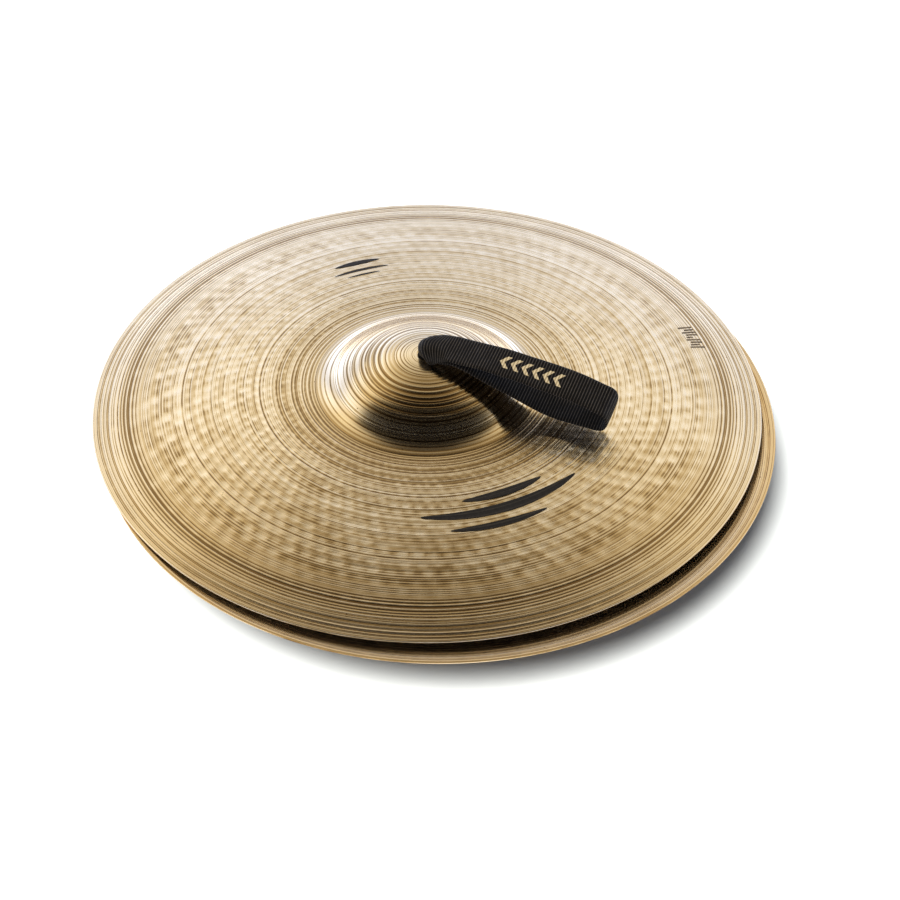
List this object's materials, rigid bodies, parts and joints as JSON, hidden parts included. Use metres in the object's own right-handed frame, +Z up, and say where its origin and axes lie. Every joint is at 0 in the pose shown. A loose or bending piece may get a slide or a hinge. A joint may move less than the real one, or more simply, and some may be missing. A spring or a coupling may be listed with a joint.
{
  "type": "pair of hand cymbals",
  "caption": "Pair of large domed bronze hand cymbals laid inside face to inside face, each with a black webbing hand strap through its bell.",
  "frame": {"origin": "centre of the pair's bounding box, on the surface that the lower strap rests on", "axes": "+Z up, along both bell axes; +X along the upper strap, from the bell towards the end of its hand loop; the lower cymbal is off centre towards +X and -Y"},
  "size_m": [0.4968, 0.4961, 0.1172],
  "materials": {
    "bronze": "lathed and hammered, bright",
    "webbing": "ribbed nylon webbing",
    "felt": "pressed wool felt",
    "steel": "zinc plated",
    "thread": "waxed thread"
  },
  "bodies": {
    "lower_cymbal": {"lower_cymbal": "bronze", "lower_felt_washer": "felt"},
    "upper_cymbal": {"upper_cymbal": "bronze", "upper_felt_washer": "felt"},
    "upper_strap_neck": {"upper_strap_neck": "webbing", "upper_steel_washer": "steel", "upper_cross_pin": "steel", "upper_thread_binding": "thread"},
    "upper_strap_loop": {"upper_strap_loop": "webbing"},
    "lower_strap_neck": {"lower_strap_neck": "webbing", "lower_steel_washer": "steel", "lower_cross_pin": "steel", "lower_thread_binding": "thread"},
    "lower_strap_loop": {"lower_strap_loop": "webbing"}
  },
  "joints": [
    {"name": "upper_lift", "type": "slide", "parent": "lower_cymbal", "child": "upper_cymbal", "axis": [0, 0, 1], "range_m": [0, 0.25]},
    {"name": "upper_strap_swivel", "type": "hinge", "parent": "upper_cymbal", "child": "upper_strap_neck", "pos_m": [-0.00715, 0.00676, 0.106], "axis": [0, 0, 1], "continuous": true},
    {"name": "upper_strap_tilt", "type": "hinge", "parent": "upper_strap_neck", "child": "upper_strap_loop", "pos_m": [-0.00065, 0.00676, 0.111], "axis": [0, -1, 0], "range_deg": [0, 80]},
    {"name": "lower_strap_swivel", "type": "hinge", "parent": "lower_cymbal", "child": "lower_strap_neck", "pos_m": [0.00715, -0.00676, 0.0057], "axis": [0, 0, 1], "continuous": true},
    {"name": "lower_strap_tilt", "type": "hinge", "parent": "lower_strap_neck", "child": "lower_strap_loop", "pos_m": [0.0013, -0.0013, 0.0027], "axis": [-0.682, -0.7314, 0], "range_deg": [0, 80]}
  ]
}
